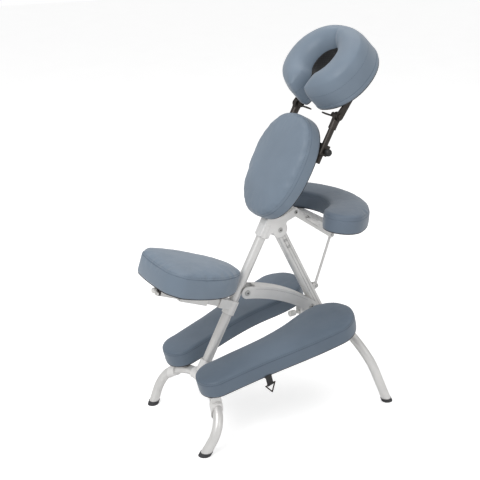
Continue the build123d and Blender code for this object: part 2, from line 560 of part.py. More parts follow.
pad_screws = group(rear_pad_screws, front_pad_screws)
leg_pad_rear_brackets = both_sides(rear_bracket - rear_pad_screws)
leg_pad_front_saddles = both_sides(saddle - front_pad_screws)
leg_pad_screws = both_sides(pad_screws)
leg_pad_boards = group(left_leg_board - leg_pad_screws, right_leg_board - leg_pad_screws)

# webbing tab and triangular ring at the outer edge of the right-hand pad
STRAP_X, STRAP_HALF, STRAP_T, STRAP_DROP = -84.0, 11.0, 1.6, 28.0
strap_y = -(LEG_Y + FLANK + STRAP_X * math.sin(math.radians(LEG_SPLAY)) + 1)
strap_from, strap_to = STRAP_X - STRAP_HALF, STRAP_X + STRAP_HALF
strap_run = block(strap_from, strap_to, strap_y, strap_y + 34, LEG_LOW - STRAP_T, LEG_LOW)
strap_fall = block(strap_from, strap_to, strap_y - STRAP_T, strap_y, LEG_LOW - STRAP_DROP, LEG_LOW + 6)
RING_BAR_R, RING_HALF, RING_DROP = 2.2, 17.0, 30.0
ring_pivot = LEG * Pos(STRAP_X, strap_y - STRAP_T / 2, LEG_LOW - STRAP_DROP)
ring_line = ring_pivot * Rot(0, 90, 0)
strap_eye = ring_line * Cylinder(RING_BAR_R + STRAP_T, 2 * STRAP_HALF)
ring_strap = LEG * (strap_run + strap_fall) + strap_eye - ring_line * Cylinder(RING_BAR_R + RUN, 60)


def triangle_ring():
    """Wire triangle whose top bar passes through the strap's eye; x along the bar, y down."""
    corners = [(-RING_HALF, 0), (RING_HALF, 0), (0, -RING_DROP)]
    bars = []
    for start, end in zip(corners, corners[1:] + corners[:1]):
        length = math.dist(start, end)
        turn = math.degrees(math.atan2(end[1] - start[1], end[0] - start[0]))
        bar = Pos(length / 2, 0, 0) * Rot(0, 90, 0) * Cylinder(RING_BAR_R, length)
        bars += [Pos(*start) * Rot(0, 0, turn) * bar, Pos(*start) * Sphere(RING_BAR_R)]
    ring = bars[0]
    for bar in bars[1:]:
        ring = ring + bar
    return ring


strap_ring = ring_pivot * Rot(90, 0, 0) * triangle_ring()

# ---------------------------------------------------------------- chest pad
CHEST_EGG, CARRIAGE_T = 0.05, 5.0
chest_front = CHEST_BACK_T + BOARD_T
chest_outline = oval(CHEST_HALF_L, CHEST_HALF_W, CHEST_POWER, CHEST_EGG)
chest_board_outline = oval(CHEST_HALF_L - INSET, CHEST_HALF_W - INSET, CHEST_POWER, CHEST_EGG)
chest_cushion = COLUMN * Pos(CHEST_S, 0, 0) * cushion(chest_outline, CHEST_FACE_T - chest_front, CHEST_FACE_T)
chest_board = COLUMN * Pos(CHEST_S, 0, CHEST_BACK_T) * extrude(chest_board_outline, BOARD_T)
post_half_w, post_half_d = POST_W / 2 + RUN, POST_D / 2 + RUN
chest_carriage = COLUMN * (
    block(CHEST_KNOB_S - 35, CHEST_KNOB_S + 35, -POST_W / 2 - 5, POST_W / 2 + 5, -POST_D / 2 - 5, CHEST_BACK_T)
    + block(CHEST_KNOB_S - 43, CHEST_KNOB_S + 43, -45, 45, CHEST_BACK_T - CARRIAGE_T, CHEST_BACK_T)
    - block(0, 400, -post_half_w, post_half_w, -post_half_d, post_half_d)
    - Pos(CHEST_KNOB_S, 0, -20) * Cylinder(4 + RUN, 20)
)
chest_places = [(CHEST_KNOB_S + s, y) for s in (-33, 33) for y in (-34, 34)]
chest_screws = screws(COLUMN, chest_places, CHEST_BACK_T - CARRIAGE_T, 13)
chest_carriage = chest_carriage - chest_screws
chest_board = chest_board - chest_screws
chest_lock_knob = COLUMN * Pos(CHEST_KNOB_S, 0, -POST_D / 2 - 0.3) * Rot(180, 0, 0) * knob(4, 10, 5, 17, 13)

# ---------------------------------------------------------------- rods and face cradle
receiver = block(RECEIVER_FROM, RECEIVER_TO, -ROD_Y - 16, ROD_Y + 16, -RECEIVER_HALF_T, RECEIVER_HALF_T)
receiver = fillet(receiver.edges().filter_by(Axis.X), 6)
KNOB_S = RECEIVER_FROM + 14
rod_space = both_sides(rod(COLUMN, ROD_R + RUN, 0, 600, ROD_Y))
knob_line = COLUMN * Pos(KNOB_S, 0, 0) * Rot(90, 0, 0)
stem_holes = knob_line * (Cylinder(4 + RUN, 400) - Cylinder(5, 2 * ROD_Y))
rod_receiver = COLUMN * receiver - post_solid - rod_space - stem_holes
left_rod_knob = COLUMN * Pos(KNOB_S, ROD_Y + ROD_R + 0.3, 0) * Rot(-90, 0, 0) * ball_knob(4, 12, 11.5)
right_rod_knob = mirror(left_rod_knob, about=Plane.XZ)

cradle_rods = both_sides(rod(COLUMN, ROD_R, ROD_FROM, ROD_TO, ROD_Y))
hinge = point(COLUMN, CRADLE_HINGE_S, 0)
EYE_HALF, EYE_R = 6.0, 13.0
end_socket = rod(COLUMN, ROD_R + 3, ROD_TO - 26, ROD_TO + 2, ROD_Y)
eye = link(hinge, point(COLUMN, ROD_TO - 6, 0), EYE_R, 11)
rod_end = slab(eye, ROD_Y - EYE_HALF, ROD_Y + EYE_HALF) + end_socket
rod_end = rod_end - rod(COLUMN, ROD_R, ROD_FROM, ROD_TO, ROD_Y) - pin(hinge, CRADLE_PIN_R + RUN, 0, 200)
rod_ends = both_sides(rod_end)

ARM_IN, ARM_OUT = ROD_Y + EYE_HALF + GAP, ROD_Y + EYE_HALF + 7
plate_low = -FACE_T / 2 - CRADLE_PLATE_T
hinge_local = local(FACE, hinge)
TAB_T = 4.0
arm_top = point(FACE, hinge_local.X + 95, plate_low - TAB_T - 2)
cradle_arm = slab(link(hinge, arm_top, EYE_R, 6), ARM_IN, ARM_OUT)
tab_from, tab_to = hinge_local.X + 44, hinge_local.X + 112
arm_tab = FACE * block(tab_from, tab_to, ROD_Y - 12, ARM_OUT, plate_low - TAB_T, plate_low)
cradle_arm = cradle_arm + arm_tab - FACE * block(-300, 300, 0, 200, plate_low, 100)
cradle_arms = both_sides(cradle_arm - pin(hinge, CRADLE_PIN_R, 0, 200))
CAM_R, CAM_WIRE_R = 8.0, 2.2
washer_in = ROD_Y - EYE_HALF - GAP
CAM_Y = washer_in - 2.5 - CAM_R
cam_pin = COLUMN * Pos(CRADLE_HINGE_S, CAM_Y, 0) * Cylinder(2, 16)
cradle_pivot = (
    pin(hinge, CRADLE_PIN_R, washer_in, ARM_OUT)
    + pin(hinge, 9, ARM_OUT, ARM_OUT + 5)
    + pin(hinge, CAM_R, washer_in - 2, washer_in)
    + pin(hinge, 3.5, CAM_Y - 4, washer_in)
    - cam_pin
)
cradle_pivots = both_sides(group(cradle_pivot, cam_pin))


def cam_lever():
    """Forked cam with a bent-wire handle that points towards the centre plane."""
    reach, half_loop, fork = 46.0, 8.0, 5.6
    loop = Wire(
        [
            Line((-6.0, fork), (-reach, half_loop)),
            ThreePointArc((-reach, half_loop), (-reach - half_loop, 0), (-reach, -half_loop)),
            Line((-reach, -half_loop), (-6.0, -fork)),
        ]
    )
    across = Plane(origin=(-4, 0, 0), x_dir=(0, 1, 0), z_dir=(1, 0, 0))
    start = Plane(origin=loop @ 0, z_dir=loop % 0)
    handle = across * sweep(start * Circle(CAM_WIRE_R), path=loop)
    cheeks = Sketch() + [Circle(CAM_R)]
    lower, upper = [Pos(0, 0, z - 1.5) * extrude(cheeks, 3) for z in (-fork, fork)]
    lever = lower + upper + handle - Cylinder(2 + RUN, 30)
    return COLUMN * Pos(CRADLE_HINGE_S, CAM_Y, 0) * lever


left_cam_lever = cam_lever()
right_cam_lever = mirror(left_cam_lever, about=Plane.XZ)


def face_outline(inset=0.0):
    """Horseshoe: an oval with an oval hole that opens through a mouth towards the chest pad."""
    outer = oval(FACE_HALF_L - inset, FACE_HALF_W - inset, 2.15)
    hole = Ellipse(FACE_HOLE_L + inset, FACE_HOLE_W + inset)
    mouth = Pos(-FACE_HALF_L, 0) * Rectangle(2 * FACE_HALF_L, FACE_MOUTH + 2 * inset)
    face = outer - (hole + mouth)
    return fillet(face.vertices().filter_by(lambda v: v.X < -FACE_HALF_L / 2), 16)


face_cushion = FACE * cushion(face_outline(), FACE_T, FACE_T / 2, 14)
cradle_plate = FACE * Pos(0, 0, plate_low) * extrude(face_outline(INSET), CRADLE_PLATE_T)
cradle_places = [(hinge_local.X + x, side * (ROD_Y - 4)) for x in (62, 96) for side in (-1, 1)]
cradle_screws = screws(FACE, cradle_places, plate_low - TAB_T, 9)
cradle_arms = cradle_arms - cradle_screws
cradle_plate = cradle_plate - cradle_screws

# ---------------------------------------------------------------- arm rest
arm_centre = ARM_ARC_X - ARM_PAD[0]
ARM_LOW = -ARM_CUSHION_T - BOARD_T
arm_outline = crescent(arm_centre, ARM_ARC_R, ARM_HALF_W, ARM_LOBE_ANGLE)
arm_board_outline = crescent(arm_centre, ARM_ARC_R, ARM_HALF_W - INSET, ARM_LOBE_ANGLE)
armrest_cushion = ARM * cushion(arm_outline, ARM_CUSHION_T)
armrest_board = ARM * Pos(0, 0, ARM_LOW) * extrude(arm_board_outline, BOARD_T)

bar_outline = link(ARM_HINGE, ARM_END, 12, 9.5)
bar_solid = slab(bar_outline, -ARM_BAR_HALF, ARM_BAR_HALF)
bar_pin = bolt(ARM_END, LINK_PIN_R, ARM_BAR_HALF, 5, 2)
bar_fork = slab(disc(ARM_END, 13), -LINK_HALF - GAP, LINK_HALF + GAP)
armrest_bar = bar_solid - pin(ARM_HINGE, ARM_PIN_R + RUN, -20, 20) - bar_fork - bar_pin

ARM_PLATE_T = 8.0
riser_rear, riser_front = [point(ARM, x, ARM_LOW - ARM_PLATE_T / 2) for x in (-78, -32)]
riser = slab(polygon(riser_rear, riser_front, (184, 600), (137, 633)), -14, 14)
cross_plate = ARM * block(-66, -30, -150, 150, ARM_LOW - ARM_PLATE_T, ARM_LOW)
armrest_places = [(-57, y) for y in (-136, -112, 112, 136)]
armrest_screws = screws(ARM, armrest_places, ARM_LOW - ARM_PLATE_T, 16)
armrest_bracket = riser + cross_plate - bar_solid - armrest_screws
armrest_board = armrest_board - armrest_screws
armrest_fasteners = group(bar_pin, armrest_screws)

link_span = math.dist(link_pivot, ARM_END)
link_angle = math.degrees(math.atan2(ARM_END[1] - link_pivot[1], ARM_END[0] - link_pivot[0]))
link_rod = rod(incline(*link_pivot, link_angle), LINK_ROD_R, 6, link_span - 6)
link_eyes = slab(disc(link_pivot, 9.5) + disc(ARM_END, 8), -LINK_HALF, LINK_HALF)
armrest_link = link_rod + link_eyes.solids() - pin(link_pivot, LINK_PIN_R + LINK_PLAY, -20, 20)
armrest_link = armrest_link - pin(ARM_END, LINK_PIN_R + RUN, -20, 20)

# ---------------------------------------------------------------- export
nodes = {
    "rear_leg_arch": rear_leg_arch,
    "rear_feet": rear_feet,
    "column_foot": column_foot,
    "column_tube": column_tube,
    "column_bolts": group(column_foot_bolt, arch_hinge_bolt),
    "frame_casting": frame_casting,
    "casting_bolts": casting_bolts,
    "rail_collar": rail_collar,
    "seat_rail": seat_rail,
    "seat_rail_cap": seat_rail_cap,
    "leg_pad_rear_brackets": leg_pad_rear_brackets,
    "leg_pad_front_saddles": leg_pad_front_saddles,
    "leg_pad_screws": leg_pad_screws,
    "leg_pad_boards": leg_pad_boards,
    "left_leg_cushion": left_leg_cushion,
    "right_leg_cushion": right_leg_cushion,
    "ring_strap": ring_strap,
    "strap_ring": strap_ring,
    "chest_post": chest_post,
    "rod_receiver": rod_receiver,
    "strut_tube": strut_tube,
    "strut_head": strut_head,
    "strut_pins": strut_pins,
    "strut_foot": strut_foot,
    "front_leg_arch": front_leg_arch,
    "front_feet": front_feet,
    "seat_arch_left_plate": arch_plate,
    "seat_arch_right_plate": mirror(arch_plate, about=Plane.XZ),
    "seat_arch_cover": seat_arch_cover,
    "arch_front_bolt": arch_front_bolt,
    "plunger_block": plunger_block,
    "arch_lock_knob": arch_lock_knob,
    "seat_carriage": seat_carriage,
    "seat_lock_knob": seat_lock_knob,
    "seat_screws": seat_screws,
    "seat_board": seat_board,
    "seat_cushion": seat_cushion,
    "chest_carriage": chest_carriage,
    "chest_lock_knob": chest_lock_knob,
    "chest_screws": chest_screws,
    "chest_board": chest_board,
    "chest_cushion": chest_cushion,
    "left_rod_knob": left_rod_knob,
    "right_rod_knob": right_rod_knob,
    "cradle_rods": cradle_rods,
    "rod_ends": rod_ends,
    "cradle_arms": cradle_arms,
    "cradle_pivots": cradle_pivots,
    "left_cam_lever": left_cam_lever,
    "right_cam_lever": right_cam_lever,
    "cradle_plate": cradle_plate,
    "cradle_screws": cradle_screws,
    "face_cushion": face_cushion,
    "armrest_bar": armrest_bar,
    "armrest_bracket": armrest_bracket,
    "armrest_fasteners": armrest_fasteners,
    "armrest_board": armrest_board,
    "armrest_cushion": armrest_cushion,
    "armrest_link": armrest_link,
}
CENTRING = 31.2            # puts the origin under the middle of the chair's length
for name, shape in nodes.items():
    export_step(Pos(CENTRING, 0, 0) * shape, f"parts/{name}.step")
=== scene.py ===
import json
import math
from dataclasses import dataclass

import bmesh
import bpy
import numpy as np
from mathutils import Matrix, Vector, geometry, noise


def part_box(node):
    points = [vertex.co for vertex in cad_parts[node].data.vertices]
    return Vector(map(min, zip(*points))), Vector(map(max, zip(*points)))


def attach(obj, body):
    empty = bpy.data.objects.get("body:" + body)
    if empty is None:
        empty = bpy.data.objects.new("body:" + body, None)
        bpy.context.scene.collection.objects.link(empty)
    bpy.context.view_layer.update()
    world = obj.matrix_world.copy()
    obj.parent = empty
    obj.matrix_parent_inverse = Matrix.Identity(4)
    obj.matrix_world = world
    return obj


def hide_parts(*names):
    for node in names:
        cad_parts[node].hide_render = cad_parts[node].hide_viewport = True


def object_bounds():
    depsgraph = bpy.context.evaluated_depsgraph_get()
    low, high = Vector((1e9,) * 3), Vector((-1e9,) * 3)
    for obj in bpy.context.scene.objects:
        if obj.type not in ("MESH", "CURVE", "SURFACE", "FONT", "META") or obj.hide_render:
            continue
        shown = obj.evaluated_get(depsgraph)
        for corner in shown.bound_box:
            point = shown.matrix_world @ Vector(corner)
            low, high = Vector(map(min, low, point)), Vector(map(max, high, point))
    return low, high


# Looks of the kneeling massage chair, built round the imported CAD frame. Metres and degrees.

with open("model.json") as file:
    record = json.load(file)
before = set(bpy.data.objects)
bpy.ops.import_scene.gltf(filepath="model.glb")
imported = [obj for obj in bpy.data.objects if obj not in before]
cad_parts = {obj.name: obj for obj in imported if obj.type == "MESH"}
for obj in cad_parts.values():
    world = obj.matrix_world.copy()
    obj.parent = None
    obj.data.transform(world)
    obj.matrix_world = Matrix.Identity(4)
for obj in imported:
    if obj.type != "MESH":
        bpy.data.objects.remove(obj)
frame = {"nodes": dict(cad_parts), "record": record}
cad_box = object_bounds()
MM = 0.001


# ---------------------------------------------------------------- materials
def principled(name):
    """New material and its node tree, principled shader and object-space coordinates."""
    made = bpy.data.materials.new(name)
    made.use_nodes = True
    nodes = made.node_tree.nodes
    return made, nodes, made.node_tree.links, nodes["Principled BSDF"], nodes.new("ShaderNodeTexCoord")


def noise_node(nodes, links, coords, scale, detail=3.0, roughness=0.55):
    texture = nodes.new("ShaderNodeTexNoise")
    texture.inputs["Scale"].default_value = scale
    texture.inputs["Detail"].default_value = detail
    texture.inputs["Roughness"].default_value = roughness
    links.new(coords, texture.inputs["Vector"])
    return texture.outputs["Fac"]


def ramp(nodes, links, factor, stops):
    """Color ramp through (position, colour) stops."""
    node = nodes.new("ShaderNodeValToRGB")
    elements = node.color_ramp.elements
    while len(elements) < len(stops):
        elements.new(0.5)
    for element, (position, colour) in zip(elements, stops):
        element.position = position
        element.color = (*colour, 1.0)
    links.new(factor, node.inputs["Fac"])
    return node.outputs["Color"]


def spread(nodes, links, factor, low, high):
    """A 0 to 1 factor mapped to low .. high."""
    node = nodes.new("ShaderNodeMapRange")
    node.inputs["From Min"].default_value = 0.3
    node.inputs["From Max"].default_value = 0.7
    node.inputs["To Min"].default_value = low
    node.inputs["To Max"].default_value = high
    links.new(factor, node.inputs["Value"])
    return node.outputs["Result"]


def bump(nodes, links, height, strength, distance, before=None):
    node = nodes.new("ShaderNodeBump")
    node.inputs["Strength"].default_value = strength
    node.inputs["Distance"].default_value = distance
    links.new(height, node.inputs["Height"])
    if before is not None:
        links.new(before, node.inputs["Normal"])
    return node.outputs["Normal"]


def scaled(colour, factor):
    return tuple(min(1.0, channel * factor) for channel in colour)


def crevice_shade(nodes, links, colour, reach, dark):
    """Painted shade: darkens a colour in seams and creases, where ambient occlusion finds nearby surfaces."""
    occlusion = nodes.new("ShaderNodeAmbientOcclusion")
    occlusion.inputs["Distance"].default_value = reach
    occlusion.samples = 4
    mix = nodes.new("ShaderNodeMix")
    mix.data_type = "RGBA"
    mix.blend_type = "MULTIPLY"
    mix.inputs["Factor"].default_value = 1.0
    shade = ramp(nodes, links, occlusion.outputs["AO"], [(0.25, (dark,) * 3), (0.9, (1, 1, 1))])
    links.new(shade, mix.inputs[7])
    links.new(colour, mix.inputs[6])
    return mix.outputs[2]


def vinyl(name, colour):
    """Smooth upholstery vinyl: fine pebbled grain, slow tone changes, painted shade in the seams."""
    made, nodes, links, shader, where = principled(name)
    coords = where.outputs["Object"]
    tone = noise_node(nodes, links, coords, 7.0, 2.0)
    tinted = ramp(nodes, links, tone, [(0.3, scaled(colour, 0.93)), (0.7, scaled(colour, 1.06))])
    # painted shade: the vinyl colour is darkened by ambient occlusion in seams and creases
    links.new(crevice_shade(nodes, links, tinted, 12 * MM, 0.58), shader.inputs["Base Color"])
    shader.inputs["Specular IOR Level"].default_value = 0.42
    shader.inputs["Sheen Weight"].default_value = 0.22
    shader.inputs["Sheen Roughness"].default_value = 0.5
    wear = noise_node(nodes, links, coords, 45.0)
    links.new(spread(nodes, links, wear, 0.40, 0.52), shader.inputs["Roughness"])
    grain = nodes.new("ShaderNodeTexVoronoi")
    grain.inputs["Scale"].default_value = 950.0
    links.new(coords, grain.inputs["Vector"])
    pebbles = bump(nodes, links, grain.outputs["Distance"], 0.22, 0.25 * MM)
    waves = noise_node(nodes, links, coords, 16.0, 2.0)
    links.new(bump(nodes, links, waves, 0.18, 3 * MM, pebbles), shader.inputs["Normal"])
    return made


def metal(name, colour, metallic, rough, grain_scale, grain_depth, wear=1.06):
    """Coated or bare metal with slow tone changes, uneven gloss, a fine surface grain and painted shade in
    its crevices.
    """
    made, nodes, links, shader, where = principled(name)
    coords = where.outputs["Object"]
    tone = noise_node(nodes, links, coords, 14.0, 4.0)
    tinted = ramp(nodes, links, tone, [(0.3, scaled(colour, 0.95)), (0.7, scaled(colour, wear))])
    # painted shade: the metal colour is darkened by ambient occlusion in crevices and where parts meet
    links.new(crevice_shade(nodes, links, tinted, 10 * MM, 0.55), shader.inputs["Base Color"])
    shader.inputs["Metallic"].default_value = metallic
    gloss = noise_node(nodes, links, coords, 70.0, 5.0)
    links.new(spread(nodes, links, gloss, rough - 0.05, rough + 0.07), shader.inputs["Roughness"])
    grain = noise_node(nodes, links, coords, grain_scale, 4.0)
    links.new(bump(nodes, links, grain, 0.25, grain_depth), shader.inputs["Normal"])
    return made


def moulded(name, colour, rough, specular=0.5):
    """Moulded plastic or rubber: fine spark-eroded texture and slightly uneven gloss."""
    made, nodes, links, shader, where = principled(name)
    coords = where.outputs["Object"]
    tone = noise_node(nodes, links, coords, 30.0, 3.0)
    tinted = ramp(nodes, links, tone, [(0.3, scaled(colour, 0.85)), (0.7, scaled(colour, 1.2))])
    links.new(tinted, shader.inputs["Base Color"])
    shader.inputs["Specular IOR Level"].default_value = specular
    gloss = noise_node(nodes, links, coords, 160.0)
    links.new(spread(nodes, links, gloss, rough - 0.06, rough + 0.08), shader.inputs["Roughness"])
    texture = noise_node(nodes, links, coords, 1400.0, 2.0)
    links.new(bump(nodes, links, texture, 0.3, 0.12 * MM), shader.inputs["Normal"])
    return made


def woven(name, colour, threads):
    """Plain weave: two crossed sets of threads, threads per metre each way."""
    made, nodes, links, shader, where = principled(name)
    coords = where.outputs["Object"]
    waves = []
    for direction in ("X", "Z"):
        wave = nodes.new("ShaderNodeTexWave")
        wave.bands_direction = direction
        wave.inputs["Scale"].default_value = threads / 20
        links.new(coords, wave.inputs["Vector"])
        waves.append(wave.outputs["Fac"])
    crossed = nodes.new("ShaderNodeMath")
    crossed.operation = "MULTIPLY"
    links.new(waves[0], crossed.inputs[0])
    links.new(waves[1], crossed.inputs[1])
    tinted = ramp(nodes, links, crossed.outputs[0], [(0.0, scaled(colour, 0.6)), (0.8, scaled(colour, 1.6))])
    links.new(tinted, shader.inputs["Base Color"])
    shader.inputs["Roughness"].default_value = 0.85
    shader.inputs["Sheen Weight"].default_value = 0.3
    links.new(bump(nodes, links, crossed.outputs[0], 0.6, 0.4 * MM), shader.inputs["Normal"])
    return made


def rail_end(name, ball_to, neck_to):
    """End cap of the seat rail: a light ball up to ball_to along x, a dark neck up to neck_to, then light."""
    light, dark = (0.80, 0.79, 0.76), (0.035, 0.03, 0.028)
    made, nodes, links, shader, where = principled(name)
    split = nodes.new("ShaderNodeSeparateXYZ")
    links.new(where.outputs["Object"], split.inputs[0])
    steps = []
    for edge in (ball_to, neck_to):
        step = nodes.new("ShaderNodeMath")
        step.operation = "GREATER_THAN"
        step.inputs[1].default_value = edge
        links.new(split.outputs["X"], step.inputs[0])
        steps.append(step.outputs[0])
    neck = nodes.new("ShaderNodeMath")
    neck.operation = "SUBTRACT"
    links.new(steps[0], neck.inputs[0])
    links.new(steps[1], neck.inputs[1])
    links.new(ramp(nodes, links, neck.outputs[0], [(0.0, light), (1.0, dark)]), shader.inputs["Base Color"])
    gloss = noise_node(nodes, links, where.outputs["Object"], 120.0)
    links.new(spread(nodes, links, gloss, 0.28, 0.4), shader.inputs["Roughness"])
    return made


# ARM_SHADED_BLUE is the upholstery blue made darker: painted shade on the armrest, whose cover is the same
# upholstery as the seat and chest.
BLUE, ARM_SHADED_BLUE, LEG_BLUE = (0.190, 0.243, 0.308), (0.142, 0.182, 0.235), (0.122, 0.163, 0.214)
SLOTS = {
    "upholstery": vinyl("upholstery_vinyl", BLUE),
    "leg_upholstery": vinyl("leg_upholstery_vinyl", LEG_BLUE),
    "board": woven("board_dust_cover", (0.022, 0.022, 0.025), 900),
    "frame_tube": metal("satin_aluminium_tube", (0.80, 0.79, 0.775), 0.40, 0.36, 900.0, 0.05 * MM),
    "frame_casting": metal("coated_casting", (0.87, 0.86, 0.845), 0.20, 0.42, 420.0, 0.18 * MM),
    "dark_metal": metal("dark_bronze_metal", (0.050, 0.043, 0.038), 0.55, 0.38, 700.0, 0.08 * MM, 1.3),
    "steel": metal("zinc_plated_steel", (0.52, 0.52, 0.51), 0.85, 0.33, 600.0, 0.05 * MM),
    "knob": moulded("black_moulded_plastic", (0.018, 0.018, 0.018), 0.42),
    "light_plastic": moulded("light_moulded_plastic", (0.78, 0.77, 0.74), 0.35),
    "foot": moulded("dark_rubber", (0.060, 0.060, 0.064), 0.70, 0.3),
    "webbing": woven("black_webbing", (0.020, 0.020, 0.021), 1400),
}
# darker copy of the upholstery vinyl, painted shade for the armrest
ARM_SHADED_VINYL = vinyl("arm_shaded_vinyl", ARM_SHADED_BLUE)
# black weave laid low in the face hole as painted shade
HOLE_SHADE = woven("painted_hole_shade", (0.012, 0.012, 0.013), 900)
EDGE_CORD = moulded("dark_edge_cord", (0.030, 0.034, 0.040), 0.55)
THREAD = moulded("upholstery_thread", (0.130, 0.172, 0.222), 0.75)
LEG_THREAD = moulded("leg_upholstery_thread", (0.088, 0.120, 0.160), 0.75)


def paint(piece, material):
    piece.data.materials.clear()
    piece.data.materials.append(material)


for part in frame["record"]["subparts"]:
    paint(frame["nodes"][part["node"]], SLOTS[part["material_slot"]])

paint(frame["nodes"]["cradle_pivots"], SLOTS["dark_metal"])
BALL, NECK = 17.5 * MM, 7.5 * MM       # lengths along the end cap of the seat rail
ball_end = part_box("seat_rail_cap")[0].x + BALL
paint(frame["nodes"]["seat_rail_cap"], rail_end("seat_rail_end", ball_end, ball_end + NECK))


# ---------------------------------------------------------------- mesh helpers
def mesh_object(name, points, faces):
    mesh = bpy.data.meshes.new(name)
    mesh.from_pydata([tuple(p) for p in points], [], [tuple(f) for f in faces])
    mesh.update()
    mesh.polygons.foreach_set("use_smooth", [True] * len(mesh.polygons))
    piece = bpy.data.objects.new(name, mesh)
    bpy.context.scene.collection.objects.link(piece)
    return piece


def finish_piece(piece, material, body):
    paint(piece, material)
    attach(piece, body)
    return piece


def tube(name, path, up, radius, sides=8):
    """Round cord along a closed path that lies roughly across the direction up."""
    along = np.roll(path, -1, 0) - np.roll(path, 1, 0)
    along /= np.linalg.norm(along, axis=1)[:, None]
    side = np.cross(along, up)
    side /= np.linalg.norm(side, axis=1)[:, None]
    over = np.cross(side, along)
    angles = np.arange(sides) * 2 * math.pi / sides
    rings = [path + radius * (math.cos(a) * side + math.sin(a) * over) for a in angles]
    points = np.stack(rings, 1).reshape(-1, 3)
    count = len(path)
    faces = []
    for i in range(count):
        for k in range(sides):
            a, b = i * sides, (i + 1) % count * sides
            faces.append((a + k, b + k, b + (k + 1) % sides, a + (k + 1) % sides))
    return mesh_object(name, points, [f[::-1] for f in faces])


def along_table(s, reach, table):
    """Row of a table of points or directions at the length s along a path."""
    return np.array([np.interp(s, reach, table[:, k]) for k in range(3)])


def stitches(name, path, outward, length, pitch, radius):
    """Row of short thread stitches along a closed path, half sunk in the surface."""
    steps = np.linalg.norm(np.roll(path, -1, 0) - path, axis=1)
    reach = np.concatenate([[0], np.cumsum(steps)])
    closed = np.vstack([path, path[:1]])
    closed_out = np.vstack([outward, outward[:1]])
    count = int(reach[-1] / pitch)
    sides, points, faces = 6, [], []
    stations = [(-0.5, 0.0), (-0.38, 0.75), (0.0, 1.0), (0.38, 0.75), (0.5, 0.0)]
    for i in range(count):
        centre = (i + 0.5) * reach[-1] / count
        begin, finish = [along_table(centre + half * length, reach, closed) for half in (-0.5, 0.5)]
        along = (finish - begin) / np.linalg.norm(finish - begin)
        out = along_table(centre, reach, closed_out)
        across = np.cross(along, out)
        across /= np.linalg.norm(across)
        out = np.cross(across, along)
        middle = along_table(centre, reach, closed)
        base = len(points)
        points.append(middle + along * stations[0][0] * length)
        for share, thick in stations[1:-1]:
            for k in range(sides):
                a = 2 * math.pi * k / sides
                around = across * math.cos(a) + out * math.sin(a)
                points.append(middle + along * share * length + around * radius * thick)
        points.append(middle + along * stations[-1][0] * length)
        end = len(points) - 1
        for k in range(sides):
            following = (k + 1) % sides
            faces.append((base, base + 1 + following, base + 1 + k))
            for ring in range(2):
                low = base + 1 + ring * sides
                faces.append((low + k, low + following, low + sides + following, low + sides + k))
            last = base + 1 + 2 * sides
            faces.append((end, last + k, last + following))
    return mesh_object(name, points, faces)


# ---------------------------------------------------------------- upholstered pads
@dataclass
class Pad:
    """How one upholstered pad is shaped."""

    node: str                  # CAD solid it replaces
    board: str                 # CAD node under it
    body: str
    slot: str
    seam_drop: float           # seam below the top of the pad
    roll: float                # width of the rounded top edge
    crown: float               # rise of the middle over the edge
    crown_reach: float
    swell: float               # largest swelling by the simulated air pressure
    tuck: float = 6 * MM       # rounding of the lower edge under the board
    fullness: float = 2.0      # 2 is a round top edge, more is squarer
    relax: int = 0             # rounds of smoothing on the outline
    hole_bulge: float = 0.0    # how far the padding swells into the face hole
    inset: float = 11 * MM     # board to cushion edge


PADS = {
    "seat": Pad("seat_cushion", "seat_board", "seat", "upholstery",
                11 * MM, 12 * MM, 9 * MM, 90 * MM, 9 * MM, tuck=9 * MM, relax=5),
    "left_leg": Pad("left_leg_cushion", "leg_pad_boards", "rear_frame", "leg_upholstery",
                    9 * MM, 10 * MM, 5 * MM, 60 * MM, 5 * MM),
    "right_leg": Pad("right_leg_cushion", "leg_pad_boards", "rear_frame", "leg_upholstery",
                     9 * MM, 10 * MM, 5 * MM, 60 * MM, 5 * MM),
    "chest": Pad("chest_cushion", "chest_board", "chest", "upholstery",
                 20 * MM, 18 * MM, 6 * MM, 110 * MM, 7 * MM, relax=8),
    "face": Pad("face_cushion", "cradle_plate", "cradle", "upholstery",
                80 * MM, 34 * MM, 12 * MM, 47 * MM, 9 * MM, tuck=9 * MM, fullness=3.1, relax=5,
                hole_bulge=10 * MM),
    "armrest": Pad("armrest_cushion", "armrest_board", "armrest", "upholstery",
                   15 * MM, 15 * MM, 6 * MM, 60 * MM, 5 * MM),
}
RING_STEP = 5.5 * MM       # spacing of points along a pad's outline
GRID_STEP = 8.0 * MM       # spacing of points in the middle of a pad
PRESSURE_FRAMES = 20


def per_vertex(mesh, attribute):
    """Table of "co" or "normal" of every point of a mesh."""
    values = np.zeros(len(mesh.vertices) * 3)
    mesh.vertices.foreach_get(attribute, values)
    return values.reshape(-1, 3)


def node_points(node):
    return per_vertex(frame["nodes"][node].data, "co")


def pad_frame(pad):
    """Axes of a pad, with z the normal of its largest flat face that looks away from its board."""
    mesh = frame["nodes"][pad.node].data
    areas = {}
    for face in mesh.polygons:
        key = tuple(round(c, 3) for c in face.normal)
        areas[key] = areas.get(key, 0.0) + face.area
    flat = sorted(areas, key=areas.get)[-1]
    away = node_points(pad.node).mean(0) - node_points(pad.board).mean(0)
    normal = Vector(flat) * (1 if np.dot(flat, away) > 0 else -1)
    normal.y = 0.0
    normal.normalize()
    across = Vector((0, 1, 0))
    return np.array([across.cross(normal), across, normal])


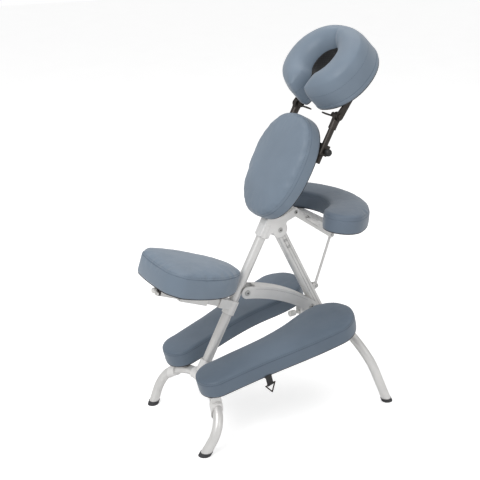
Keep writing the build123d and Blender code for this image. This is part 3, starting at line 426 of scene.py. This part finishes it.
def middle_outline(pad, axes, height):
    """Closed outline of the CAD cushion where a plane at that height cuts it, in the pad's own axes."""
    cut = bmesh.new()
    cut.from_mesh(frame["nodes"][pad.node].data)
    bmesh.ops.remove_doubles(cut, verts=cut.verts, dist=0.02 * MM)
    normal = Vector(axes[2])
    everything = cut.verts[:] + cut.edges[:] + cut.faces[:]
    found = bmesh.ops.bisect_plane(cut, geom=everything, plane_co=normal * height, plane_no=normal)
    edges = [e for e in found["geom_cut"] if isinstance(e, bmesh.types.BMEdge)]
    chain = {}
    for edge in edges:
        for vert in edge.verts:
            chain.setdefault(vert, []).append(edge)
    start = next(iter(chain))
    loop, vert, edge = [start], start, chain[start][0]
    while True:
        vert = edge.other_vert(vert)
        if vert is start:
            break
        loop.append(vert)
        edge = next(e for e in chain[vert] if e is not edge)
    outline = np.array([v.co for v in loop]) @ axes.T
    cut.free()
    return outline[:, :2]


def even_loop(outline, step, relax):
    """The closed outline with evenly spaced points, counter-clockwise, its corners eased relax times."""
    closed = np.vstack([outline, outline[:1]])
    reach = np.concatenate([[0], np.cumsum(np.linalg.norm(np.diff(closed, axis=0), axis=1))])
    count = int(round(reach[-1] / step))
    wanted = np.arange(count) * reach[-1] / count
    loop = np.stack([np.interp(wanted, reach, closed[:, k]) for k in range(2)], 1)
    for _ in range(relax):
        loop = (np.roll(loop, 1, 0) + 2 * loop + np.roll(loop, -1, 0)) / 4
    x, y = loop[:, 0], loop[:, 1]
    turning = np.sum(x * np.roll(y, -1) - np.roll(x, -1) * y)
    return loop if turning > 0 else loop[::-1]


def outward_of(loop):
    along = np.roll(loop, -1, 0) - np.roll(loop, 1, 0)
    along /= np.linalg.norm(along, axis=1)[:, None]
    return np.stack([along[:, 1], -along[:, 0]], 1)


def facing_hole(loop):
    """1 where the outline of the face cushion looks into its hole, falling to 0 round the lobe ends."""
    middle = (loop.min(0) + loop.max(0)) / 2
    rel = loop - middle
    inward = -(rel * outward_of(loop)).sum(1) / np.linalg.norm(rel, axis=1)
    weight = np.clip(inward * 1.6, 0, 1)
    for _ in range(8):
        weight = (np.roll(weight, 1) + 2 * weight + np.roll(weight, -1)) / 4
    return weight


def offset_ring(loop, inside):
    """The outline moved inwards, with its points relaxed where a tight corner would fold over."""
    ring = loop - outward_of(loop) * np.reshape(inside, (-1, 1))
    run = np.roll(loop, -1, 0) - loop
    for _ in range(60):
        folded = ((np.roll(ring, -1, 0) - ring) * run).sum(1) < 0.2 * (run * run).sum(1)
        if not folded.any():
            break
        near = np.convolve(np.concatenate([folded[-3:], folded, folded[:3]]), np.ones(7), "same")[3:-3] > 0
        relaxed = (np.roll(ring, 1, 0) + np.roll(ring, -1, 0)) / 2
        ring[near] = relaxed[near]
    return ring


def depth_inside(loop, points):
    """Distance of each point to the outline, negative outside."""
    a, b = loop, np.roll(loop, -1, 0)
    edge = b - a
    rel = points[:, None, :] - a[None]
    share = np.clip((rel * edge).sum(2) / (edge * edge).sum(1), 0, 1)
    distance = np.linalg.norm(rel - share[..., None] * edge, axis=2).min(1)
    px, py = points[:, 0][:, None], points[:, 1][:, None]
    crosses = (a[:, 1] > py) != (b[:, 1] > py)
    slope = np.where(edge[:, 1] == 0, 1e-12, edge[:, 1])
    inside = (crosses & (px < (py - a[:, 1]) * edge[:, 0] / slope + a[:, 0])).sum(1) % 2 == 1
    return np.where(inside, distance, -distance)


def cap_points(ring):
    """Hexagonal grid points well inside a ring of the pad."""
    low, high = ring.min(0), ring.max(0)
    rows = np.arange(low[1], high[1], GRID_STEP * math.sqrt(3) / 2)
    columns = np.arange(low[0], high[0], GRID_STEP)
    grid = np.array([(x + (i % 2) * GRID_STEP / 2, y) for i, y in enumerate(rows) for x in columns])
    return grid[depth_inside(ring, grid) > GRID_STEP * 0.55]


def fill_cap(ring, grid):
    """Triangles over a ring and the grid points inside it; indices run over ring then grid."""
    count = len(ring)
    spots = [Vector(p) for p in np.vstack([ring, grid])]
    border = [(i, (i + 1) % count) for i in range(count)]
    result = geometry.delaunay_2d_cdt(spots, border, [], 1, 1e-7)
    origin = [o[0] for o in result[3]]
    return [tuple(origin[v] for v in face) for face in result[2]]


def pad_profile(pad, low, bottom, top):
    """(distance inside the outline, height) of the rings from the recess for the board to the top."""
    seam = top - pad.seam_drop
    rings = [(pad.inset, bottom), (pad.inset, low), (pad.tuck, low)]
    for turn in (30, 60):
        angle = math.radians(turn)
        rings.append((pad.tuck * (1 - math.sin(angle)), low + pad.tuck * (1 - math.cos(angle))))
    side_from, side_to = low + pad.tuck, seam - 3 * MM
    steps = max(2, int(round((side_to - side_from) / (8 * MM))))
    for i in range(steps + 1):
        rings.append((0.0, side_from + (side_to - side_from) * i / steps))
    notch = len(rings) + 1
    rings += [(0.2 * MM, seam - 1.2 * MM), (1.5 * MM, seam), (0.4 * MM, seam + 1.2 * MM)]
    for inside in (1.0, 1.8, 3.0, 4.6, 6.6, 9.0, 11.5):
        rings.append((inside * MM, roll_height(pad, top, np.array([inside * MM]))[0]))
    return rings, notch


def roll_height(pad, top, inside):
    """Height of the top surface at a distance inside the outline: rounded edge, then a slow crown."""
    rise = pad.seam_drop - 1.6 * MM
    share = np.clip(inside / pad.roll, 0, 1)
    edge = np.clip(1 - (1 - share) ** pad.fullness, 0, 1) ** (1 / pad.fullness)
    crown = 1 - (1 - np.clip(inside / pad.crown_reach, 0, 1)) ** 2
    return top - rise + rise * edge + pad.crown * crown


def inflate(piece, pinned, swell):
    """Cloth air pressure on the pad with its underside held; returns how each point moved."""
    group = piece.vertex_groups.new(name="held")
    group.add([int(i) for i in pinned], 1.0, "REPLACE")
    cloth = piece.modifiers.new("air", "CLOTH")
    settings = cloth.settings
    settings.quality = 5
    settings.mass = 0.3
    settings.use_pressure = True
    settings.uniform_pressure_force = 4.0
    settings.tension_stiffness = settings.compression_stiffness = 20.0
    settings.bending_stiffness = 0.5
    settings.vertex_group_mass = "held"
    settings.effector_weights.gravity = 0.0
    cloth.point_cache.frame_start = 1
    cloth.point_cache.frame_end = PRESSURE_FRAMES
    scene = bpy.context.scene
    for number in range(1, PRESSURE_FRAMES + 1):
        scene.frame_set(number)
    evaluated = piece.evaluated_get(bpy.context.evaluated_depsgraph_get())
    moved = per_vertex(evaluated.data, "co") - per_vertex(piece.data, "co")
    largest = np.linalg.norm(moved, axis=1).max()
    piece.modifiers.remove(cloth)
    scene.frame_set(1)
    return moved * min(1.0, swell / largest)


def vertex_normals(piece):
    piece.data.update()
    return per_vertex(piece.data, "normal")


def slack(points, wavelength, height):
    """Slow unevenness of the covering."""
    return np.array([noise.noise(Vector(p) / wavelength) for p in points]) * height


def build_pad(name, pad):
    axes = pad_frame(pad)
    heights = node_points(pad.node) @ axes[2]
    board_heights = node_points(pad.board) @ axes[2]
    top, bottom = heights.max(), heights.min()
    low = board_heights.min() + 0.5 * MM
    loop = even_loop(middle_outline(pad, axes, (top + bottom) / 2), RING_STEP, pad.relax)
    bulge = pad.hole_bulge * facing_hole(loop)
    rings, notch = pad_profile(pad, low, bottom, top)
    count = len(loop)
    points, faces = [], []
    for inside, height in rings:
        share = max(0.0, math.sin(math.pi * (height - low) / (top - low))) if height > bottom else 0.0
        flat = offset_ring(loop, inside - bulge * share)
        points.append(np.column_stack([flat, np.full(count, height)]))
    for r in range(len(rings) - 1):
        for i in range(count):
            a, b = r * count + i, r * count + (i + 1) % count
            faces.append((a, b, b + count, a + count))
    points = np.vstack(points)
    for r, upward in ((0, False), (len(rings) - 1, True)):
        ring = points[r * count:(r + 1) * count, :2]
        grid = cap_points(ring)
        start = len(points)
        if upward:
            level = roll_height(pad, top, depth_inside(ring, grid) + rings[-1][0])
        else:
            level = np.full(len(grid), bottom)
        points = np.vstack([points, np.column_stack([grid, level])])
        for face in fill_cap(ring, grid):
            placed = [r * count + v if v < count else start + v - count for v in face]
            faces.append(tuple(placed if upward else placed[::-1]))
        if upward:
            cap_start = start
    world = points @ axes
    piece = mesh_object(f"{name}_upholstery", world, faces)
    softened = bmesh.new()
    softened.from_mesh(piece.data)
    softened.verts.ensure_lookup_table()
    for _ in range(6):
        bmesh.ops.smooth_vert(softened, verts=softened.verts[cap_start:], factor=0.5,
                              use_axis_x=True, use_axis_y=True, use_axis_z=True)
    softened.to_mesh(piece.data)
    softened.free()
    held = np.concatenate([np.arange(4 * count), np.arange(len(rings) * count, cap_start)])
    piece.data.update()
    moved = inflate(piece, held, pad.swell)
    freedom = np.ones(len(world))
    freedom[notch * count:(notch + 1) * count] = 0.75
    normals = vertex_normals(piece)
    rest = per_vertex(piece.data, "co")
    uneven = slack(rest, 55 * MM, 0.9 * MM)
    uneven[held] = 0.0
    final = rest + moved * freedom[:, None] + normals * uneven[:, None]
    piece.data.vertices.foreach_set("co", final.ravel())
    piece.data.update()
    return piece, axes, final, count, notch


def dress_pad(name, pad):
    """The pad, its seam cord, its stitch row and the dark edging round its underside."""
    piece, axes, final, count, notch = build_pad(name, pad)
    if name == "face":
        press_crease(piece, axes)
        final = per_vertex(piece.data, "co")
    smooth = piece.modifiers.new("rounded", "SUBSURF")
    smooth.levels = smooth.render_levels = 1
    # the armrest takes the darker copy of the vinyl, which is painted shade
    finish_piece(piece, ARM_SHADED_VINYL if name == "armrest" else SLOTS[pad.slot], pad.body)
    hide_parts(pad.node)
    thread = LEG_THREAD if pad.slot == "leg_upholstery" else THREAD
    seam = final[notch * count:(notch + 1) * count]
    up = axes[2]
    finish_piece(tube(f"{name}_seam", seam, up, 0.9 * MM), thread, pad.body)
    normals = vertex_normals(piece)
    row = slice((notch + 3) * count, (notch + 4) * count)
    line = final[row] + normals[row] * 0.1 * MM
    finish_piece(stitches(f"{name}_stitches", line, normals[row], 4.2 * MM, 6.5 * MM, 0.45 * MM),
                 thread, pad.body)
    # the face cushion gets a black band of painted shade low in its hole
    if name == "face":
        paint_hole_shade(piece, final, count)
    rim = final[3 * count:4 * count]
    finish_piece(tube(f"{name}_edging", rim, up, 1.7 * MM), EDGE_CORD, pad.body)


SHADED_RINGS = (4, 12)       # rings of the face cushion's side that the painted shade in its hole covers


def paint_hole_shade(piece, final, count):
    """Painted shade: a black band on the lower part of the wall round the face hole, where the hole is in
    shade; a thin closed band on the cushion.
    """
    axes = pad_frame(PADS["face"])
    first, last = SHADED_RINGS
    in_hole_shade = facing_hole((final[first * count:(first + 1) * count] @ axes.T)[:, :2]) > 0.75
    start = next(i for i in range(count) if in_hole_shade[i] and not in_hole_shade[i - 1])
    columns = [(start + k) % count for k in range(count) if in_hole_shade[(start + k) % count]]
    normals = vertex_normals(piece)
    width, height = len(columns), last - first + 1
    points = []
    for proud in (1.6 * MM, -1.0 * MM):
        for r in range(first, last + 1):
            picked = [r * count + c for c in columns]
            points.append(final[picked] + normals[picked] * proud)
    points = np.vstack(points)
    faces, layer = [], width * height
    for r in range(height - 1):
        for c in range(width - 1):
            a = r * width + c
            quad = (a, a + 1, a + width + 1, a + width)
            faces.append(quad)
            faces.append(tuple(v + layer for v in reversed(quad)))
    border = [(c, c + 1) for c in range(width - 1)]
    border += [(r * width + width - 1, (r + 1) * width + width - 1) for r in range(height - 1)]
    border += [((height - 1) * width + c + 1, (height - 1) * width + c) for c in reversed(range(width - 1))]
    border += [((r + 1) * width, r * width) for r in reversed(range(height - 1))]
    faces += [(b, a, a + layer, b + layer) for a, b in border]
    finish_piece(mesh_object("face_hole_painted_shade", points, faces), HOLE_SHADE, "cradle")


CREASE_DEPTH, CREASE_WIDTH = 7 * MM, 7 * MM
CREASE_FROM, CREASE_FADE, CREASE_TO = 30 * MM, 74 * MM, 104 * MM     # along x from the middle of the cushion
CREASE_LOW, CREASE_RISE = 15 * MM, 20 * MM                           # height above its underside


def press_crease(piece, axes):
    """Fold in the covering of the face cushion where it turns at the crown of the hole."""
    points = per_vertex(piece.data, "co")
    normals = vertex_normals(piece)
    local = points @ axes.T
    middle = (local.min(0) + local.max(0)) / 2
    x, y = local[:, 0] - middle[0], local[:, 1]
    inner = np.clip((CREASE_TO - x) / (CREASE_TO - CREASE_FADE), 0, 1) * (x > CREASE_FROM)
    across = np.exp(-((y / CREASE_WIDTH) ** 2))
    above = np.clip((local[:, 2] - local[:, 2].min() - CREASE_LOW) / CREASE_RISE, 0, 1)
    depth = CREASE_DEPTH * inner * across * above
    piece.data.vertices.foreach_set("co", (points - normals * depth[:, None]).ravel())
    piece.data.update()


for pad_name, pad_shape in PADS.items():
    dress_pad(pad_name, pad_shape)


# ---------------------------------------------------------------- sockets in the bolt heads
# Each hexagon as (share of its radius, mm proud of the head), from its foot over its rim to its floor.
SOCKET_RINGS = ((1.15, -1.0), (1.0, 0.25), (0.86, 0.25), (0.8, 0.05))
SOCKET_TURN = 15           # degrees
BOLTS = {                  # node: (body, radius in mm)
    "casting_bolts": ("rear_frame", 3.0),
    "column_bolts": ("rear_frame", 3.2),
    "arch_front_bolt": ("seat_arch", 3.4),
    "cradle_pivots": ("cradle", 3.4),
}


def separate_boxes(node):
    """Lowest and highest corner of each separate solid in a CAD node."""
    work = bmesh.new()
    work.from_mesh(frame["nodes"][node].data)
    bmesh.ops.remove_doubles(work, verts=work.verts, dist=0.01 * MM)
    seen, boxes = set(), []
    for first in work.verts:               # in mesh order, so that every run gives the same sockets
        if first in seen:
            continue
        seen.add(first)
        island, waiting = [], [first]
        while waiting:
            vert = waiting.pop()
            island.append(vert.co)
            for edge in vert.link_edges:
                other = edge.other_vert(vert)
                if other not in seen:
                    seen.add(other)
                    waiting.append(other)
        corners = np.array(island)
        boxes.append((corners.min(0), corners.max(0)))
    work.free()
    return boxes


def shaded_hex_sockets(node, body, radius):
    """Dark hexagon sockets standing in the domed heads at both ends of each bolt along Y; the dark is painted
    shade for the inside of each socket.
    """
    points, faces = [], []
    for low, high in separate_boxes(node):
        lies_along_y = high[1] - low[1] >= max(high[0] - low[0], high[2] - low[2])
        if not lies_along_y:
            continue
        x, z = (low[0] + high[0]) / 2, (low[2] + high[2]) / 2
        for y, side in ((low[1], -1), (high[1], 1)):
            base = len(points)
            for share, proud in SOCKET_RINGS:
                for k in range(6):
                    a = math.radians(60 * k + SOCKET_TURN)
                    size = share * radius * MM
                    points.append((x + size * math.cos(a), y + side * proud * MM, z + size * math.sin(a)))
            for ring in range(len(SOCKET_RINGS) - 1):
                for k in range(6):
                    a, b = base + ring * 6 + k, base + ring * 6 + (k + 1) % 6
                    faces.append((a, b, b + 6, a + 6) if side < 0 else (a, a + 6, b + 6, b))
            cap = tuple(range(len(points) - 6, len(points)))
            under = tuple(range(base, base + 6))
            faces.append(cap if side < 0 else cap[::-1])
            faces.append(under[::-1] if side < 0 else under)
    piece = mesh_object(f"{node}_sockets", points, faces)
    piece.data.polygons.foreach_set("use_smooth", [False] * len(piece.data.polygons))
    # the dark metal on the sockets is painted shade for their recess
    finish_piece(piece, SLOTS["dark_metal"], body)


for bolt_node, (bolt_body, socket_radius) in BOLTS.items():
    shaded_hex_sockets(bolt_node, bolt_body, socket_radius)


# ---------------------------------------------------------------- stage, light and camera
def area_light(name, place, aim, size, power):
    data = bpy.data.lights.new(name, "AREA")
    data.shape = "RECTANGLE"
    data.size, data.size_y = size
    data.energy = power
    lamp = bpy.data.objects.new(name, data)
    bpy.context.scene.collection.objects.link(lamp)
    lamp.location = place
    lamp.rotation_euler = (Vector(aim) - Vector(place)).to_track_quat("-Z", "Y").to_euler()


AMBIENT, BACKDROP, FLOOR_LIFT = 0.50, 1.0, 0.50    # surroundings as light and as seen, floor as seen


def make_stage():
    """Pale floor, white surroundings and soft lights."""
    half = 12.0
    corners = [(-half, -half, 0), (half, -half, 0), (half, half, 0), (-half, half, 0)]
    floor = mesh_object("floor", corners, [(0, 1, 2, 3)])
    made, nodes, links, shader, where = principled("pale_floor")
    tone = noise_node(nodes, links, where.outputs["Object"], 3.0)
    links.new(ramp(nodes, links, tone, [(0.3, (0.90,) * 3), (0.7, (0.93,) * 3)]), shader.inputs["Base Color"])
    shader.inputs["Roughness"].default_value = 0.9
    shader.inputs["Emission Color"].default_value = (1.0, 1.0, 1.0, 1.0)
    lift = nodes.new("ShaderNodeMath")
    lift.operation = "MULTIPLY"
    lift.inputs[1].default_value = FLOOR_LIFT
    links.new(nodes.new("ShaderNodeLightPath").outputs["Is Camera Ray"], lift.inputs[0])
    links.new(lift.outputs[0], shader.inputs["Emission Strength"])
    paint(floor, made)
    world = bpy.data.worlds.new("studio")
    world.use_nodes = True
    tree = world.node_tree
    tree.nodes["Background"].inputs["Color"].default_value = (1.0, 1.0, 1.0, 1.0)
    seen = tree.nodes.new("ShaderNodeLightPath").outputs["Is Camera Ray"]
    brightness = tree.nodes.new("ShaderNodeMapRange")
    brightness.inputs["To Min"].default_value = AMBIENT
    brightness.inputs["To Max"].default_value = BACKDROP
    tree.links.new(seen, brightness.inputs["Value"])
    tree.links.new(brightness.outputs["Result"], tree.nodes["Background"].inputs["Strength"])
    bpy.context.scene.world = world
    middle = (cad_box[0] + cad_box[1]) / 2
    area_light("key_light", (-2.6, -1.2, 3.4), middle, (2.0, 2.0), 62)
    area_light("fill_light", (0.8, -3.4, 2.2), middle, (2.5, 2.0), 14)
    area_light("top_light", (0.6, 0.8, 3.6), middle, (3.0, 3.0), 34)


CAMERA_PLACE = (-1.470, -2.305, 1.623)
CAMERA_HEADING, CAMERA_DIP = 31.1, 20.7      # turned from +Y towards +X, and below the horizon
CAMERA_LENS = 68.8


def make_camera():
    data = bpy.data.cameras.new("camera")
    data.lens = CAMERA_LENS
    camera = bpy.data.objects.new("camera", data)
    bpy.context.scene.collection.objects.link(camera)
    camera.location = CAMERA_PLACE
    camera.rotation_euler = (math.radians(90 - CAMERA_DIP), 0, -math.radians(CAMERA_HEADING))
    bpy.context.scene.camera = camera


make_stage()
make_camera()
bpy.context.scene.view_settings.view_transform = "Standard"
